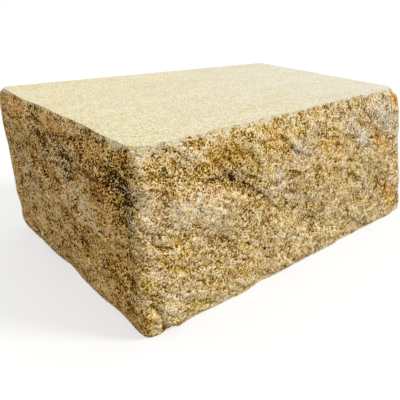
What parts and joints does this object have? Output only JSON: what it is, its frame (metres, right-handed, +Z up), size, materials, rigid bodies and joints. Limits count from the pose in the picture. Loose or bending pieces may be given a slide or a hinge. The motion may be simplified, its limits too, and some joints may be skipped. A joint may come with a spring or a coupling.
{
  "type": "wall end block",
  "caption": "Solid concrete block for the end of a dry-stacked or bonded garden wall, with one long face and one end split to rough rock and four plain moulded faces.",
  "frame": {"origin": "middle of the underside of the nominal 340 x 182 mm rectangle, midway between the top's four edges", "axes": "+Z up from bed to bed; +X along the long face to the plain butt end, so the split end is -X; the split long face is -Y and the plain back is +Y"},
  "size_m": [0.3429, 0.2172, 0.13],
  "materials": {
    "concrete": "split-face dry-pressed concrete in golden tan, with paler moulded faces"
  },
  "bodies": {
    "root": {"wall_end_block": "concrete"}
  },
  "joints": []
}
